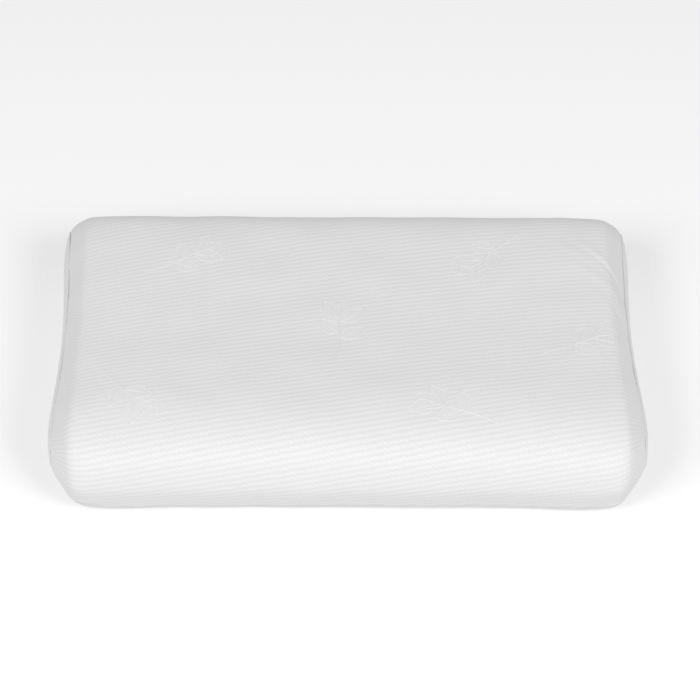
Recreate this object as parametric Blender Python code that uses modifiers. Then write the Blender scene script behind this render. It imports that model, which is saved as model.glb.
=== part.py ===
"""A contour neck pillow in a knitted cover, as one filled solid.

+X runs along the length, +Y from the front lobe to the back lobe and +Z up. The origin is the
middle of the footprint, on the surface that the pillow lies on. Metres.

The form is a soft loft: one side profile is repeated at stations from the middle to the end, each
one drawn in a little more, and the end panel closes the last of them. A Mirror makes the other
half, a Subdivision Surface rounds the whole, and a cut flattens the base where the pillow's own
weight presses it on the surface.
"""
import bmesh
import bpy

# Driving dimensions.
LENGTH = 0.600
DEPTH = 0.405
HEIGHT = 0.102
SUBDIVISIONS = 2
# The rounded form is sunk this far and cut flat at the surface that it lies on.
BASE_FLATTENING = 0.0015

# The side profile of the cage, in millimetres: depth back from the front floor line, and height.
PROFILE_MM = {
    "front nose": [(-20.5, 51)],
    "front lobe": [(-18, 75.5), (-7, 89.5), (16, 99.5), (47, 103), (90, 101.5)],
    "trough": [(145, 98), (205, 97)],
    "back lobe": [(265, 98), (318, 99), (353, 96.5), (376, 80.5)],
    "back nose": [(388, 60)],
    "back wall": [(386, 34), (380, 10), (370, 0)],
    "base": [(310, 0), (240, 0), (170, 0), (100, 0), (42, 0)],
    "front wall": [(1.5, 0), (-8.5, 15), (-19.5, 40.5)],
}

# Stations from the middle to the end, in millimetres: the distance from the end, and how far the
# profile is drawn in there at its front, back, top and base.
STATIONS_MM = [
    # inboard, front, back, top, base
    (300.0, 0, 0, 0, 0),
    (100.0, 0, 0, 0, 0),
    (29.0, -7, 0, 0, 1.5),
    (21.0, 7, 4.5, 4.5, 13.5),
    (0.0, 36, 1, 28.5, 25),
    (-1.5, 82, 56, 40, 33),
]

# The ends are drawn in where the trough thins the filling: how far at most, and where.
WAIST_MM = 9.5
WAIST_CENTRE_MM = 160.0
WAIST_SPREAD_MM = 190.0

COVER_COLOUR = (0.83, 0.83, 0.83, 1.0)
COVER_ROUGHNESS = 0.9

MILLIMETRE = 0.001
MERGE_DISTANCE = 0.00005
CUTTER_MARGIN = 0.05
CUTTER_DEPTH = 0.02


def clear_scene():
    for item in list(bpy.data.objects):
        bpy.data.objects.remove(item, do_unlink=True)


def new_collection(name):
    collection = bpy.data.collections.new(name)
    bpy.context.scene.collection.children.link(collection)
    return collection


def cover_material():
    material = bpy.data.materials.new("double_knit_cover")
    material.use_nodes = True
    shader = material.node_tree.nodes["Principled BSDF"]
    shader.inputs["Base Color"].default_value = COVER_COLOUR
    shader.inputs["Roughness"].default_value = COVER_ROUGHNESS
    shader.inputs["Metallic"].default_value = 0.0
    return material


def profile_points():
    return [point for stretch in PROFILE_MM.values() for point in stretch]


def waist(depth, x, half_length):
    """How far the end is drawn in at this depth; it fades out towards the middle."""
    from_centre = (depth - WAIST_CENTRE_MM) / WAIST_SPREAD_MM
    return WAIST_MM * 2.718 ** (-from_centre ** 2) * (x / half_length) ** 4


def station_ring(station, profile):
    """The profile at one station, squeezed between its drawn-in front, back, top and base."""
    inboard, front, back, top, base = station
    half_length = STATIONS_MM[0][0]
    x = half_length - inboard
    nearest = min(depth for depth, height in profile)
    farthest = max(depth for depth, height in profile)
    highest = max(height for depth, height in profile)
    depth_scale = (farthest - nearest - front - back) / (farthest - nearest)
    height_scale = (highest - top - base) / highest
    ring = []
    for depth, height in profile:
        y = nearest + front + (depth - nearest) * depth_scale
        z = base + height * height_scale
        ring.append((x - waist(depth, x, half_length), y, z))
    return ring


def cage_mesh(name):
    """Half of the cage, open at the middle plane, with the end panel closing the last ring."""
    profile = profile_points()
    cage = bmesh.new()
    rings = [[cage.verts.new(point) for point in station_ring(row, profile)] for row in STATIONS_MM]
    count = len(profile)
    for inner, outer in zip(rings, rings[1:]):
        for i in range(count):
            j = (i + 1) % count
            cage.faces.new((inner[i], inner[j], outer[j], outer[i]))
    # The end panel is strips across the last ring, from its front nose to its back nose.
    last = rings[-1]
    middle = count // 2
    cage.faces.new((last[0], last[1], last[-1]))
    for i in range(1, middle - 1):
        cage.faces.new((last[i], last[i + 1], last[-i - 1], last[-i]))
    cage.faces.new((last[middle - 1], last[middle], last[middle + 1]))
    for vertex in cage.verts:
        vertex.co *= MILLIMETRE
    bmesh.ops.recalc_face_normals(cage, faces=cage.faces)
    mesh = bpy.data.meshes.new(name)
    cage.to_mesh(mesh)
    cage.free()
    mesh.shade_smooth()
    return mesh


def fit_to_size(pillow):
    """Scale and centre the cage so that the flattened form has the driving dimensions."""
    bpy.context.view_layer.update()
    rounded = pillow.evaluated_get(bpy.context.evaluated_depsgraph_get()).to_mesh()
    wanted = (LENGTH, DEPTH, HEIGHT + BASE_FLATTENING)
    for axis in range(3):
        values = [vertex.co[axis] for vertex in rounded.vertices]
        low, high = min(values), max(values)
        centre = low if axis == 2 else (low + high) / 2
        lift = -BASE_FLATTENING if axis == 2 else 0.0
        scale = wanted[axis] / (high - low)
        for vertex in pillow.data.vertices:
            vertex.co[axis] = (vertex.co[axis] - centre) * scale + lift


def floor_cutter(collection):
    """A slab under the surface that the pillow lies on, which takes off what is sunk below it."""
    bpy.ops.mesh.primitive_cube_add(size=1.0, location=(0.0, 0.0, -CUTTER_DEPTH / 2))
    cutter = bpy.context.object
    cutter.name = "floor_cutter"
    cutter.dimensions = (LENGTH + 2 * CUTTER_MARGIN, DEPTH + 2 * CUTTER_MARGIN, CUTTER_DEPTH)
    cutter.hide_render = True
    cutter.display_type = "WIRE"
    for other in list(cutter.users_collection):
        other.objects.unlink(cutter)
    collection.objects.link(cutter)
    return cutter


def make_pillow(collection, cutter):
    pillow = bpy.data.objects.new("pillow", cage_mesh("pillow"))
    collection.objects.link(pillow)
    pillow.data.materials.append(cover_material())
    mirror = pillow.modifiers.new("other half", "MIRROR")
    mirror.merge_threshold = MERGE_DISTANCE
    rounding = pillow.modifiers.new("rounding", "SUBSURF")
    rounding.levels = SUBDIVISIONS
    rounding.render_levels = SUBDIVISIONS
    fit_to_size(pillow)
    flattening = pillow.modifiers.new("flattened base", "BOOLEAN")
    flattening.operation = "DIFFERENCE"
    flattening.object = cutter
    return pillow


def main():
    clear_scene()
    cutter = floor_cutter(new_collection("cutters"))
    make_pillow(new_collection("contour_pillow"), cutter)


main()
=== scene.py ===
"""Looks for the contour neck pillow: a double-knit cover sewn from one wrap and two end panels.

Metres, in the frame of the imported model: +X along the length, +Y from the front lobe to the back
lobe, +Z up. The cover is laid out on the same soft loft as the pillow's solid. A place on it is
given by its station (0 at the middle, 5.5 at the middle line of the end panel) and its girth (0 at
the front nose, 6 on the trough, 12 at the back nose, 18 under the base, 24 at the front nose again).
"""
import math

import bpy
import numpy as np
from mathutils import Matrix, Vector


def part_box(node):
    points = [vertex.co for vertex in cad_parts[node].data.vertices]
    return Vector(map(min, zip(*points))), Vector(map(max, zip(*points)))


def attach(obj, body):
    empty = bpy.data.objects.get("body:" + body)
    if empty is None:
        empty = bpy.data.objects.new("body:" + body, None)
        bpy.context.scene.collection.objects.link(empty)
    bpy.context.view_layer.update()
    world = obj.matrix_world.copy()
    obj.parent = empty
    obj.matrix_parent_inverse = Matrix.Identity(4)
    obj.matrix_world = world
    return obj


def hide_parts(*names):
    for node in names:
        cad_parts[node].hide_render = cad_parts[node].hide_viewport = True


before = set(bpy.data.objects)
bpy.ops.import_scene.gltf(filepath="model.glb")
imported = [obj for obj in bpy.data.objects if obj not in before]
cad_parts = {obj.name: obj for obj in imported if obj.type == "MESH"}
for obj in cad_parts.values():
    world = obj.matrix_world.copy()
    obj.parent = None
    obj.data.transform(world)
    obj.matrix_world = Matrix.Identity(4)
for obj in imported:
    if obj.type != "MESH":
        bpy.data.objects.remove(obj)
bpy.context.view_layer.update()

MM = 0.001
random_numbers = np.random.default_rng(7)

# The cage of the form, as in the pillow's solid. Depth back from the front floor line, and height.
PROFILE_MM = [
    (-20.5, 51),
    (-18, 75.5), (-7, 89.5), (16, 99.5), (47, 103), (90, 101.5),
    (145, 98), (205, 97),
    (265, 98), (318, 99), (353, 96.5), (376, 80.5),
    (388, 60),
    (386, 34), (380, 10), (370, 0),
    (310, 0), (240, 0), (170, 0), (100, 0), (42, 0),
    (1.5, 0), (-8.5, 15), (-19.5, 40.5),
]
# Distance in from the end, then how far the front, back, top and base are drawn in there.
STATIONS_MM = [
    (300.0, 0, 0, 0, 0),
    (100.0, 0, 0, 0, 0),
    (29.0, -7, 0, 0, 1.5),
    (21.0, 7, 4.5, 4.5, 13.5),
    (0.0, 36, 1, 28.5, 25),
    (-1.5, 82, 56, 40, 33),
]
HALF_LENGTH_MM = 300.0
WAIST_MM = 9.5
WAIST_CENTRE_MM = 160.0
WAIST_SPREAD_MM = 190.0
BASE_FLATTENING = 0.0015

GIRTH_TURN = 24
FRONT_NOSE = 0.0
BACK_NOSE = 12.0
BASE_MIDDLE = 18.0
END_MIDDLE = 5.5

# The seam between the wrap and each end panel lies on one station, this far in from the end.
SEAM_INBOARD = 0.0045


# Layout of the form.

def control_net():
    """Rings of the cage: one beyond the middle, the six stations, and two across the end panel."""
    depth, height = np.array(PROFILE_MM, float).T
    reach = depth.max() - depth.min()
    top = height.max()
    rings = []
    for inboard, front, back, top_drop, base_lift in STATIONS_MM:
        x = HALF_LENGTH_MM - inboard
        from_centre = (depth - WAIST_CENTRE_MM) / WAIST_SPREAD_MM
        waist = WAIST_MM * 2.718 ** (-from_centre ** 2) * (x / HALF_LENGTH_MM) ** 4
        y = depth.min() + front + (depth - depth.min()) * (reach - front - back) / reach
        z = base_lift + height * (top - top_drop - base_lift) / top
        rings.append(np.stack([x - waist, y, z], axis=1))
    opposite = -np.arange(GIRTH_TURN) % GIRTH_TURN
    beyond_middle = rings[1] * (-1.0, 1.0, 1.0)
    return np.array([beyond_middle] + rings + [rings[-1][opposite], rings[-2][opposite]]) * MM


def spline_weights(t):
    """The four weights of a uniform cubic B-spline, which is what rounds a regular cage."""
    return (
        (1 - t) ** 3 / 6,
        (3 * t ** 3 - 6 * t ** 2 + 4) / 6,
        (-3 * t ** 3 + 3 * t ** 2 + 3 * t + 1) / 6,
        t ** 3 / 6,
    )


def loft(net, station, girth):
    """Points of the rounded cage at these stations, from 0 to 5.5, and girths, as arrays."""
    station, girth = np.broadcast_arrays(np.asarray(station, float), np.asarray(girth, float))
    ring = np.minimum(np.floor(station).astype(int), 5)
    point = np.floor(girth).astype(int)
    across = spline_weights(station - ring)
    around = spline_weights(girth - point)
    total = np.zeros(station.shape + (3,))
    for a in range(4):
        for b in range(4):
            corner = net[ring + a, (point - 1 + b) % GIRTH_TURN]
            total += (across[a] * around[b])[..., None] * corner
    return total


def fitted_net():
    """The cage, scaled and centred so that the rounded form fills the solid's own box."""
    net = control_net()
    low_corner, high_corner = (np.array(corner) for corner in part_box("pillow"))
    low_corner[2] -= BASE_FLATTENING
    stations = np.linspace(0.0, END_MIDDLE, 111)[:, None]
    girths = np.arange(0.0, GIRTH_TURN, 0.125)[None, :]
    points = loft(net, stations, girths).reshape(-1, 3)
    high = points.max(axis=0)
    low = points.min(axis=0)
    low[0] = -high[0]
    return (net - low) * (high_corner - low_corner) / (high - low) + low_corner


NET = fitted_net()


def form(station, girth):
    """Points of the form, station negative on the left half, with the base pressed flat."""
    station, girth = np.broadcast_arrays(np.asarray(station, float), np.asarray(girth, float))
    points = loft(NET, np.abs(station), girth)
    points[..., 0] *= np.where(station < 0, -1.0, 1.0)
    points[..., 2] = np.maximum(points[..., 2], 0.0)
    return points


def lengths_along(points):
    """Running length along the first axis of a row of points."""
    steps = np.linalg.norm(np.diff(points, axis=0), axis=-1)
    return np.concatenate([np.zeros((1,) + steps.shape[1:]), np.cumsum(steps, axis=0)])


def seam_station():
    """The station where the trough's edge is as far in as the seam."""
    stations = np.linspace(2.0, END_MIDDLE, 400)
    x = form(stations, 6.5)[:, 0]
    end = int(np.argmax(x))
    return float(np.interp(x[end] - SEAM_INBOARD, x[:end], stations[:end]))


SEAM = seam_station()


def spaced(places, lengths, spacing):
    """Places whose spacing along the form follows the given spacing at each of them."""
    steps = np.diff(lengths) / ((spacing[1:] + spacing[:-1]) / 2)
    count_so_far = np.concatenate([[0.0], np.cumsum(steps)])
    wanted = np.linspace(0.0, count_so_far[-1], int(round(count_so_far[-1])) + 1)
    return np.interp(wanted, count_so_far, places)


def wrap_stations():
    """Columns of the wrap from seam to seam, closer together near the seams."""
    stations = np.linspace(-SEAM, SEAM, 1601)
    lengths = lengths_along(form(stations, 6.5))
    from_seam = np.minimum(lengths, lengths[-1] - lengths)
    spacing = np.interp(from_seam, [0.0, 0.030, 0.060], [0.0009, 0.0014, 0.0027])
    return spaced(stations, lengths, spacing)


def wrap_girths():
    """Rows of the wrap, from the middle of the base over the front and the crown and back to it."""
    girths = np.linspace(BASE_MIDDLE - GIRTH_TURN, BASE_MIDDLE, 2401)
    lengths = lengths_along(form(0.0, girths))
    spacing = np.interp(girths, [-5.0, -4.0, 14.5, 15.5], [0.012, 0.0019, 0.0019, 0.012])
    return spaced(girths, lengths, spacing)


STATIONS = wrap_stations()
GIRTHS = wrap_girths()


# Cloth coordinates: lengths along the cloth, in metres, from the middle and from the front nose.

def cloth_coordinates(points, girths):
    """u along the length and v round the girth, for a grid of points on the wrap."""
    middle = points.shape[0] // 2
    along = lengths_along(points)
    along -= along[middle]
    around = lengths_along(form(0.0, girths))
    around -= np.interp(FRONT_NOSE, girths, around)
    # On the crown the rows of the knit run straight across; at the noses they follow the form.
    back_length = np.interp(BACK_NOSE, girths, around)
    crown = [0.02, 0.09, back_length - 0.08, back_length - 0.01]
    straight = np.interp(around, crown, [0.0, 1.0, 1.0, 0.0])
    drawn_in = points[..., 1] - points[middle, :, 1][None, :]
    return along, around[None, :] + straight[None, :] * drawn_in


# Relief of the wrap: heights along the normal, in metres.

def bump_at(u, v, centre, angle, length, width):
    """A soft long hump: 1 on its middle line, and fading to 0 along and across it."""
    turn = math.radians(angle)
    du = u - centre[0] * MM
    dv = v - centre[1] * MM
    along = du * math.cos(turn) + dv * math.sin(turn)
    across = -du * math.sin(turn) + dv * math.cos(turn)
    return np.exp(-(along / (length * MM)) ** 2 - (across / (width * MM)) ** 2)


# Folds: centre u and v, angle, half length, half width, all in mm and degrees, height.
FOLDS_MM = [
    # upper right, where the cover is slack at the back lobe
    ((262, 330), -52, 34, 5.0, 0.9),
    ((272, 312), -50, 30, 3.4, -1.0),
    ((254, 300), -48, 26, 6.0, 0.7),
    ((236, 338), -40, 30, 7.0, 0.5),
    ((283, 268), -62, 26, 4.0, 0.6),
    ((276, 250), -58, 22, 3.6, -0.6),
    # the dimple on the back edge
    ((212, 416), 10, 9, 5.0, -0.8),
    # puckers where the front wall turns under at both ends
    ((-262, -34), 8, 10, 2.2, 0.9),
    ((-258, -40), 6, 12, 2.4, -0.9),
    ((262, -36), 14, 12, 2.4, 1.0),
    ((256, -42), 10, 14, 2.6, -0.9),
    # slack on the front wall at the right
    ((238, -10), 84, 24, 4.0, 0.35),
    ((222, -14), 88, 22, 4.5, -0.3),
    ((204, -12), 92, 24, 4.0, 0.25),
]


UNDULATION = 0.00011
GATHER_HEIGHT = 0.00007
LEFT_GATHER_SHARE = 0.8
# The cloth dips this far at the seams, over this width.
SEAM_DIP = 0.0011
SEAM_DIP_WIDTH = 0.0022


def undulation(u, v):
    """Broad, shallow unevenness of stuffed cloth."""
    total = np.zeros_like(u)
    for k in range(14):
        wavelength = random_numbers.uniform(0.060, 0.130)
        direction = random_numbers.uniform(0.0, math.pi)
        phase = random_numbers.uniform(0.0, 2 * math.pi)
        share = u * math.cos(direction) + v * math.sin(direction)
        total += np.sin(2 * math.pi * share / wavelength + phase)
    return total * UNDULATION


def gathers(v, from_seam, side):
    """Short radial gathers where the wrap is sewn to the end panel."""
    total = np.zeros_like(v)
    for k in range(7):
        wavelength = random_numbers.uniform(0.0055, 0.0110)
        phase = random_numbers.uniform(0.0, 2 * math.pi)
        reach = random_numbers.uniform(0.006, 0.012)
        total += np.sin(2 * math.pi * v / wavelength + phase) * np.exp(-from_seam / reach)
    return total * GATHER_HEIGHT * (1.0 if side > 0 else LEFT_GATHER_SHARE)


# Where the cloth turns under, as v, and the height of the fold's ridge and of the hollow under it.
FOLD_LINE = -0.040
FOLD_RIDGE = 0.0006
FOLD_HOLLOW = 0.0008


def turn_under(u, v):
    """The low fold where the cloth of the front wall turns under the pillow."""
    line = FOLD_LINE + 0.0016 * np.sin(u / 0.11) + 0.0008 * np.sin(u / 0.043 + 1.0)
    over = (v - line) / 0.0022
    ridge = np.exp(-over ** 2)
    under = np.exp(-((v - line + 0.0052) / 0.0034) ** 2)
    return FOLD_RIDGE * ridge - FOLD_HOLLOW * under


def wrap_relief(u, v, seam_distance_left, seam_distance_right):
    """All the relief of the wrap: unevenness, folds, gathers and the dips at the seams."""
    height = undulation(u, v) + turn_under(u, v)
    for centre, angle, length, width, tall in FOLDS_MM:
        height += tall * MM * bump_at(u, v, centre, angle, length, width)
    height += gathers(v, seam_distance_left, -1)
    height += gathers(v, seam_distance_right, 1)
    nearest = np.minimum(seam_distance_left, seam_distance_right)
    height -= SEAM_DIP * np.exp(-(nearest / SEAM_DIP_WIDTH) ** 2)
    return height


# Meshes.

def grid_normals(points):
    """Unit normals of a grid of points, outward for the wrap's order of columns and rows."""
    along = np.gradient(points, axis=0)
    around = np.gradient(points, axis=1)
    normals = np.cross(along, around)
    return normals / np.maximum(np.linalg.norm(normals, axis=-1, keepdims=True), 1e-12)


def grid_faces(columns, rows, close_rows=False):
    """Quads of a grid whose vertices run row by row inside each column."""
    faces = []
    row_count = rows if close_rows else rows - 1
    for i in range(columns - 1):
        for j in range(row_count):
            k = (j + 1) % rows
            faces.append((i * rows + j, (i + 1) * rows + j, (i + 1) * rows + k, i * rows + k))
    return faces


def add_mesh(name, points, faces, material, knit=None):
    """A smooth mesh object. knit holds each point's rib phase, stitch phase and plainness."""
    mesh = bpy.data.meshes.new(name)
    mesh.from_pydata([tuple(point) for point in points.reshape(-1, 3)], [], faces)
    mesh.shade_smooth()
    mesh.materials.append(material)
    if knit is not None:
        attribute = mesh.attributes.new("knit", "FLOAT_VECTOR", "POINT")
        attribute.data.foreach_set("vector", knit.astype(np.float32).ravel())
    piece = bpy.data.objects.new(name, mesh)
    bpy.context.scene.collection.objects.link(piece)
    return piece


def wear(piece):
    """The piece rides on the pillow."""
    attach(piece, "root")


# Knit: ribs run along the length, rising a little to the right, and are broken by the stitches.

RIB_PITCH = 0.0065
STITCH_PITCH = 0.0054


def knit_phases(u, v):
    """How many ribs and stitches lie between the middle of the front nose and each point."""
    bend = np.interp(v, [0.0, 0.30], [0.1, -0.45])
    rib = (v - (0.2 * u + bend * u * u / 2)) / RIB_PITCH
    stitch = (u + 0.21 * v) / STITCH_PITCH
    return rib, stitch


def linear(hex_colour):
    """An sRGB hex colour as the linear numbers that a shader takes."""
    channels = [int(hex_colour[i:i + 2], 16) / 255 for i in (1, 3, 5)]
    return tuple(c / 12.92 if c <= 0.04045 else ((c + 0.055) / 1.055) ** 2.4 for c in channels) + (1.0,)


def add_node(material, kind, settings=None, links=None, values=None):
    """One node: settings are its options, values fill its sockets and links join them."""
    node = material.node_tree.nodes.new(kind)
    for name, value in (settings or {}).items():
        setattr(node, name, value)
    for socket, value in (values or {}).items():
        node.inputs[socket].default_value = value
    for socket, source in (links or {}).items():
        material.node_tree.links.new(source, node.inputs[socket])
    return node


def new_material(name):
    material = bpy.data.materials.new(name)
    material.use_nodes = True
    return material, material.node_tree.nodes["Principled BSDF"]


# The colour of the cloth's face, and a greyer white painted into the grooves between its ribs as
# painted shade.
COVER_WHITE = "#EBEBEB"
GROOVE_SHADE_WHITE = "#E2E2E2"
# The height of the ribs, and how strong the other parts of the knit are beside them.
RIB_RELIEF = 0.00005
SLANT_SHARE = 0.45
STITCH_SHARE = 0.25
FUZZ_SHARE = 0.7
# How far the loops wander, in turns of the rib, and how many wanders and hairs there are to a metre.
WANDER = 0.35
WANDERS_PER_METRE = 85.0
HAIRS_PER_METRE = 900.0
# The relief at which a groove is deepest and a rib is highest.
RELIEF_LIMIT = 1.2


def double_knit(name):
    """Near-white polyester double knit, matt with a little fuzz that lightens its grazing edges."""
    material, cloth = new_material(name)
    cloth.inputs["Roughness"].default_value = 0.92
    cloth.inputs["Specular IOR Level"].default_value = 0.25
    cloth.inputs["Sheen Weight"].default_value = 0.12
    cloth.inputs["Sheen Roughness"].default_value = 0.5

    place = add_node(material, "ShaderNodeAttribute", {"attribute_name": "knit"})
    parts = add_node(material, "ShaderNodeSeparateXYZ", links={0: place.outputs["Vector"]})
    rib, stitch, plain = parts.outputs

    # Loops of yarn are never even, so both phases wander a little.
    where = add_node(material, "ShaderNodeTexCoord").outputs["Object"]
    wander = add_node(material, "ShaderNodeTexNoise", links={"Vector": where},
                      values={"Scale": WANDERS_PER_METRE, "Detail": 2.0})
    wandered_rib = add_node(material, "ShaderNodeMath", {"operation": "MULTIPLY_ADD"},
                            {0: wander.outputs["Fac"], 2: rib}, {1: WANDER})
    slant = add_node(material, "ShaderNodeMath", {"operation": "ADD"},
                     {0: wandered_rib.outputs[0], 1: stitch})

    # The ribs, the slanting lines across them and the stitches: each a wave of its phase.
    waves = []
    for phase in (wandered_rib.outputs[0], slant.outputs[0], stitch):
        turned = add_node(material, "ShaderNodeMath", {"operation": "MULTIPLY"}, {0: phase},
                          {1: 2 * math.pi})
        wave = add_node(material, "ShaderNodeMath", {"operation": "COSINE"}, {0: turned.outputs[0]})
        waves.append(wave.outputs[0])
    ribs, slants, stitches = waves
    relief = add_node(material, "ShaderNodeMath", {"operation": "MULTIPLY_ADD"},
                      {0: slants, 2: ribs}, {1: SLANT_SHARE})
    relief = add_node(material, "ShaderNodeMath", {"operation": "MULTIPLY_ADD"},
                      {0: stitches, 2: relief.outputs[0]}, {1: STITCH_SHARE})

    # Inside a leaf the knit is plain, with only its fuzz left.
    shown = add_node(material, "ShaderNodeMath", {"operation": "SUBTRACT", "use_clamp": True},
                     {1: plain}, {0: 1.0})
    relief = add_node(material, "ShaderNodeMath", {"operation": "MULTIPLY"},
                      {0: relief.outputs[0], 1: shown.outputs[0]})
    fuzz = add_node(material, "ShaderNodeTexNoise", links={"Vector": where},
                    values={"Scale": HAIRS_PER_METRE, "Detail": 3.0})
    relief = add_node(material, "ShaderNodeMath", {"operation": "MULTIPLY_ADD"},
                      {0: fuzz.outputs["Fac"], 2: relief.outputs[0]}, {1: FUZZ_SHARE})
    bump = add_node(material, "ShaderNodeBump", links={"Height": relief.outputs[0]},
                    values={"Strength": 1.0, "Distance": RIB_RELIEF})
    material.node_tree.links.new(bump.outputs["Normal"], cloth.inputs["Normal"])

    # Painted shade: the colour turns a little greyer where the relief is low, in the grooves between
    # ribs.
    shade = add_node(material, "ShaderNodeMapRange", links={"Value": relief.outputs[0]},
                     values={"From Min": -RELIEF_LIMIT, "From Max": RELIEF_LIMIT,
                             "To Min": 0.0, "To Max": 1.0})
    mixed = add_node(material, "ShaderNodeMix", {"data_type": "RGBA"}, {0: shade.outputs["Result"]},
                     {6: linear(GROOVE_SHADE_WHITE), 7: linear(COVER_WHITE)})
    material.node_tree.links.new(mixed.outputs[2], cloth.inputs["Base Color"])
    return material


# The wrap.

base_points = form(STATIONS[:, None], GIRTHS[None, :])
base_normals = grid_normals(base_points)
u_grid, v_grid = cloth_coordinates(base_points, GIRTHS)


def make_wrap(material):
    left_distance = u_grid - u_grid[:1]
    right_distance = u_grid[-1:] - u_grid
    height = wrap_relief(u_grid, v_grid, left_distance, right_distance)
    points = base_points + base_normals * height[..., None]
    points[..., 2] = np.maximum(points[..., 2], 0.0)
    rib, stitch = knit_phases(u_grid, v_grid)
    plain = np.zeros_like(rib)
    for motif in MOTIFS_MM:
        plain = np.maximum(plain, motif_plainness(u_grid, v_grid, motif))
    knit = np.stack([rib, stitch, plain], axis=-1)
    faces = grid_faces(len(STATIONS), len(GIRTHS))
    wrap = add_mesh("cover_wrap", points, faces, material, knit)
    wear(wrap)
    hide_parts("pillow")
    return points


# End panels, seams and sprigs.

END_GIRTHS = np.arange(0.0, GIRTH_TURN, 0.1)


def make_end_panel(name, side, material):
    stations = np.concatenate([np.linspace(SEAM, 5.0, 16), np.linspace(5.0, END_MIDDLE, 8)[1:]])
    points = form(stations[:, None], END_GIRTHS[None, :])
    normals = grid_normals(points)
    into_seam = lengths_along(points)
    height = -SEAM_DIP * np.exp(-(into_seam / SEAM_DIP_WIDTH) ** 2)
    height += 0.0002 * np.sin(into_seam / 0.004) * np.exp(-into_seam / 0.01)
    points = points + normals * height[..., None]
    points[..., 2] = np.maximum(points[..., 2], 0.0)
    rib = points[..., 2] / RIB_PITCH
    stitch = points[..., 1] / STITCH_PITCH
    knit = np.stack([rib, stitch, np.zeros_like(rib)], axis=-1)
    points[..., 0] *= side
    faces = grid_faces(len(stations), len(END_GIRTHS), close_rows=True)
    if side < 0:
        faces = [face[::-1] for face in faces]
    wear(add_mesh(name, points, faces, material, knit))


STITCH_SPACING = 0.003
STITCH_DENT = 0.0002
SEAM_HALF_WIDTH = 0.0012
SEAM_HEIGHT = 0.0011
SEAM_SINK = 0.0003


def make_seam(name, side, material):
    """The rolled ridge of the seam, with a dent at each stitch."""
    girths = np.arange(0.0, GIRTH_TURN, 0.02)
    centre = form(SEAM, girths)
    ahead = form(SEAM, girths + 0.01) - form(SEAM, girths - 0.01)
    ahead /= np.linalg.norm(ahead, axis=1, keepdims=True)
    out = form(SEAM + 0.01, girths) - form(SEAM - 0.01, girths)
    out /= np.linalg.norm(out, axis=1, keepdims=True)
    normal = np.cross(out, ahead)
    normal /= np.linalg.norm(normal, axis=1, keepdims=True)
    length = lengths_along(centre)
    dent = 0.5 + 0.5 * np.cos(2 * math.pi * length / STITCH_SPACING)
    turns = np.linspace(0.0, 2 * math.pi, 9)[:-1]
    rows = []
    for turn in turns:
        across = math.cos(turn) * SEAM_HALF_WIDTH
        up = math.sin(turn) * (SEAM_HEIGHT - STITCH_DENT * dent)
        rows.append(centre + out * across + normal * (up[:, None] - SEAM_SINK))
    points = np.stack(rows, axis=0)
    points[..., 2] = np.maximum(points[..., 2], 0.0)
    points[..., 0] *= side
    faces = grid_faces(len(turns), len(girths), close_rows=True)
    last = len(turns) - 1
    count = len(girths)
    for j in range(count):
        k = (j + 1) % count
        faces.append((last * count + j, j, k, last * count + k))
    if side < 0:
        faces = [face[::-1] for face in faces]
    knit = np.zeros(points.shape)
    knit[..., 2] = 1.0
    wear(add_mesh(name, points, faces, material, knit))


# Leaf sprigs knitted as fine raised lines: centre u and v in mm, turn in degrees, size in mm.
MOTIFS_MM = [
    (-175, 322, 25, 78),
    (150, 335, -140, 78),
    (-10, 205, 80, 78),
    (232, 190, 20, 78),
    (-222, 110, -60, 78),
    (108, 84, 150, 78),
]
LEAVES = [
    # where on the stem, angle to it, length, width, as shares of the sprig's size
    (0.50, 0.0, 0.46, 0.17),
    (0.30, 42.0, 0.40, 0.15),
    (0.22, -40.0, 0.42, 0.15),
    (-0.02, 50.0, 0.38, 0.14),
    (-0.10, -48.0, 0.38, 0.14),
]


def leaf_outline(base, angle, length, width):
    """Closed outline of a pointed leaf, with its base at base."""
    turn = math.radians(angle)
    t = np.linspace(0.0, 1.0, 25)
    half = width * np.sin(math.pi * t) * (1.0 - 0.35 * t)
    side_one = np.stack([t * length, half], axis=1)
    side_two = np.stack([t[::-1] * length, -half[::-1]], axis=1)
    outline = np.concatenate([side_one, side_two[1:]])
    spin = np.array([[math.cos(turn), math.sin(turn)], [-math.sin(turn), math.cos(turn)]])
    return outline @ spin + base


def sprig_strokes():
    """Lines of one sprig, in a square of side 1 round the origin, and the leaves' outlines."""
    t = np.linspace(-0.55, 0.5, 30)
    stem = np.stack([t, 0.05 * np.sin(4.0 * t)], axis=1)
    leaves = []
    for along, angle, length, width in LEAVES:
        base = np.array([along, 0.05 * math.sin(4.0 * along)])
        if along > 0.45:
            base = base - (0.30, 0.0)
        leaves.append(leaf_outline(base, angle, length, width))
    veins = []
    for outline in leaves:
        tip = outline[24]
        veins.append(np.linspace(outline[0], outline[0] * 0.3 + tip * 0.7, 12))
    return [stem] + leaves + veins, leaves


def placed(stroke, motif):
    """A stroke of the sprig as u and v on the cloth, in metres."""
    u, v, angle, size = motif
    turn = math.radians(angle)
    spin = np.array([[math.cos(turn), math.sin(turn)], [-math.sin(turn), math.cos(turn)]])
    return (stroke * size) @ spin * MM + np.array([u, v]) * MM


def inside(u, v, outline):
    """Whether each point is inside a closed outline, by counting crossings."""
    crossing = np.zeros(u.shape, bool)
    for (u0, v0), (u1, v1) in zip(outline, np.roll(outline, -1, axis=0)):
        if v0 == v1:
            continue
        between = (v0 > v) != (v1 > v)
        crossing ^= between & (u < (u1 - u0) * (v - v0) / (v1 - v0) + u0)
    return crossing


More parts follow.
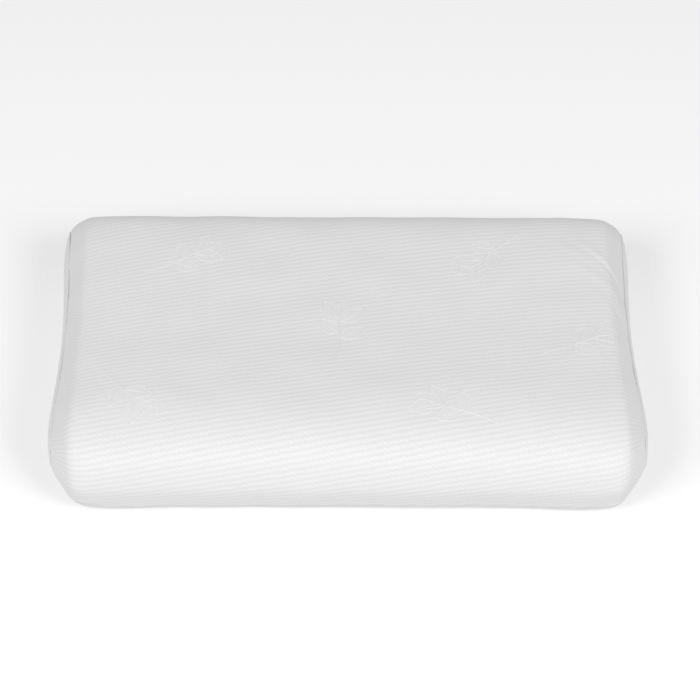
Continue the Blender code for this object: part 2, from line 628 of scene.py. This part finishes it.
def motif_plainness(u, v, motif):
    """1 inside the sprig's leaves and 0 outside."""
    near = (np.abs(u - motif[0] * MM) < 0.07) & (np.abs(v - motif[1] * MM) < 0.07)
    mask = np.zeros(u.shape)
    for outline in sprig_strokes()[1]:
        mask[near] = np.maximum(mask[near], inside(u[near], v[near], placed(outline, motif)))
    return mask


def on_wrap(points, wanted_u, wanted_v):
    """Columns and rows, as fractions, of these cloth coordinates."""
    columns = np.full(wanted_u.shape, len(STATIONS) / 2)
    rows = np.full(wanted_u.shape, len(GIRTHS) / 2)
    row_numbers = np.arange(len(GIRTHS))
    column_numbers = np.arange(len(STATIONS))
    for attempt in range(4):
        for k in range(len(wanted_u)):
            i = int(round(columns[k]))
            rows[k] = np.interp(wanted_v[k], v_grid[i], row_numbers)
            j = int(round(rows[k]))
            columns[k] = np.interp(wanted_u[k], u_grid[:, j], column_numbers)
    return columns, rows


def sampled(grid, columns, rows):
    """Bilinear value of a grid at fractional columns and rows."""
    i = np.clip(np.floor(columns).astype(int), 0, grid.shape[0] - 2)
    j = np.clip(np.floor(rows).astype(int), 0, grid.shape[1] - 2)
    a = (columns - i)[:, None]
    b = (rows - j)[:, None]
    return ((1 - a) * (1 - b) * grid[i, j] + a * (1 - b) * grid[i + 1, j]
            + (1 - a) * b * grid[i, j + 1] + a * b * grid[i + 1, j + 1])


LINE_WIDTH = 0.0014
LINE_HEIGHT = 0.00035
LINE_SECTION = [(-0.5, -0.5), (-0.32, 0.6), (0.0, 1.0), (0.32, 0.6), (0.5, -0.5)]


def make_sprigs(wrap_points, material):
    """Raised lines of knit on the wrap, each a low rounded ridge."""
    normals = grid_normals(wrap_points)
    all_points = []
    faces = []
    strokes = sprig_strokes()[0]
    start = 0
    for motif in MOTIFS_MM:
        for stroke in strokes:
            path = placed(stroke, motif)
            columns, rows = on_wrap(wrap_points, path[:, 0], path[:, 1])
            centre = sampled(wrap_points, columns, rows)
            normal = sampled(normals, columns, rows)
            normal /= np.linalg.norm(normal, axis=1, keepdims=True)
            ahead = np.gradient(centre, axis=0)
            ahead /= np.maximum(np.linalg.norm(ahead, axis=1, keepdims=True), 1e-9)
            sideways = np.cross(normal, ahead)
            section = [centre + sideways * LINE_WIDTH * across + normal * LINE_HEIGHT * up
                       for across, up in LINE_SECTION]
            all_points.append(np.stack(section, axis=1).reshape(-1, 3))
            count = len(LINE_SECTION)
            for i in range(len(centre) - 1):
                for j in range(count - 1):
                    corner = start + i * count + j
                    faces.append((corner, corner + 1, corner + count + 1, corner + count))
            start += len(centre) * count
    points = np.concatenate(all_points)
    knit = np.zeros(points.shape)
    knit[:, 2] = 1.0
    wear(add_mesh("leaf_sprigs", points, [face[::-1] for face in faces], material, knit))


# Studio.

FLOOR_REACH = 4.0
FLOOR_DROP = 0.0002
FLOOR_GLOW = 0.12


def make_floor():
    reach = FLOOR_REACH
    corners = np.array([(-reach, -reach, 0), (reach, -reach, 0), (reach, reach, 0), (-reach, reach, 0)])
    corners[:, 2] = -FLOOR_DROP
    material, paper = new_material("studio_paper")
    paper.inputs["Base Color"].default_value = linear("#FAFAFA")
    paper.inputs["Roughness"].default_value = 0.95
    paper.inputs["Emission Color"].default_value = linear("#FFFFFF")
    paper.inputs["Emission Strength"].default_value = FLOOR_GLOW
    floor = add_mesh("floor", corners, [(0, 1, 2, 3)], material)
    # The floor throws no light back up, as a photographer's lowered table wouldn't.
    floor.visible_diffuse = False


def add_softbox(name, azimuth_degrees):
    """A square lamp that looks at the pillow; azimuth 0 is in front and 90 to the right."""
    lamp = bpy.data.lights.new(name, "AREA")
    lamp.shape = "SQUARE"
    lamp.size = KEY_SIZE
    lamp.energy = KEY_WATTS
    holder = bpy.data.objects.new(name, lamp)
    azimuth = math.radians(azimuth_degrees)
    elevation = math.radians(KEY_ELEVATION)
    aim = Vector((0.0, 0.0, 0.05))
    away = Vector((math.sin(azimuth) * math.cos(elevation), -math.cos(azimuth) * math.cos(elevation),
                   math.sin(elevation)))
    holder.location = aim + away * KEY_DISTANCE
    holder.rotation_euler = away.to_track_quat("Z", "Y").to_euler()
    bpy.context.scene.collection.objects.link(holder)


# The tent's strength above and below, and how far from the horizon the two blend.
TENT_ABOVE = 0.50
TENT_BELOW = 0.86
TENT_BLEND = 0.4
KEY_WATTS = 52.0
KEY_AZIMUTH = 38.0
KEY_ELEVATION = 38.0
KEY_DISTANCE = 4.0
KEY_SIZE = 1.6


def make_light():
    world = bpy.data.worlds.new("studio")
    world.use_nodes = True
    sky = world.node_tree.nodes["Background"]
    sky.inputs["Color"].default_value = (1.0, 1.0, 1.0, 1.0)
    # A light tent: even all round, and a little stronger from under the horizon.
    direction = add_node(world, "ShaderNodeTexCoord").outputs["Generated"]
    height = add_node(world, "ShaderNodeSeparateXYZ", links={0: direction}).outputs["Z"]
    strength = add_node(world, "ShaderNodeMapRange", links={"Value": height},
                        values={"From Min": -TENT_BLEND, "From Max": TENT_BLEND,
                                "To Min": TENT_BELOW, "To Max": TENT_ABOVE})
    world.node_tree.links.new(strength.outputs["Result"], sky.inputs["Strength"])
    bpy.context.scene.world = world
    add_softbox("front_left_softbox", -KEY_AZIMUTH)
    add_softbox("front_right_softbox", KEY_AZIMUTH)
    bpy.context.scene.view_settings.view_transform = "Standard"


# The photograph's viewing angle: a long lens from in front and above.
CAMERA_AIM = (0.0, 0.0042, 0.0507)
CAMERA_DISTANCE = 3.0
CAMERA_ELEVATION = 40.5
CAMERA_AZIMUTH = -1.06
CAMERA_ROLL = 0.874
CAMERA_LENS = 150.04
CAMERA_SENSOR = 36.0
PIXELS = 700
AIM_PIXEL = (347.2, 351.0)


def make_camera():
    elevation = math.radians(CAMERA_ELEVATION)
    azimuth = math.radians(CAMERA_AZIMUTH)
    roll = math.radians(CAMERA_ROLL)
    back = Vector((math.sin(azimuth) * math.cos(elevation), -math.cos(azimuth) * math.cos(elevation),
                   math.sin(elevation)))
    level_right = Vector((math.cos(azimuth), math.sin(azimuth), 0.0))
    level_up = back.cross(level_right)
    right = math.cos(roll) * level_right + math.sin(roll) * level_up
    up = -math.sin(roll) * level_right + math.cos(roll) * level_up
    place = Vector(CAMERA_AIM) + back * CAMERA_DISTANCE
    # The lens looks at the middle of the picture, which is a little off the aim point.
    pixel = CAMERA_SENSOR / PIXELS / CAMERA_LENS * CAMERA_DISTANCE
    middle = (Vector(CAMERA_AIM) + right * (PIXELS / 2 - AIM_PIXEL[0]) * pixel
              + up * (AIM_PIXEL[1] - PIXELS / 2) * pixel)
    back = (place - middle).normalized()
    right = up.cross(back).normalized()
    up = back.cross(right)
    camera = bpy.data.cameras.new("camera")
    camera.lens = CAMERA_LENS
    camera.sensor_width = CAMERA_SENSOR
    camera.clip_end = 50.0
    holder = bpy.data.objects.new("camera", camera)
    holder.matrix_world = Matrix.Translation(place) @ Matrix((right, up, back)).transposed().to_4x4()
    bpy.context.scene.collection.objects.link(holder)
    bpy.context.scene.camera = holder


def main():
    knit = double_knit("polyester_double_knit")
    wrap_points = make_wrap(knit)
    make_end_panel("cover_end_left", -1, knit)
    make_end_panel("cover_end_right", 1, knit)
    make_seam("seam_left", -1, knit)
    make_seam("seam_right", 1, knit)
    make_sprigs(wrap_points, knit)
    make_floor()
    make_light()
    make_camera()


main()

bpy.context.view_layer.update()
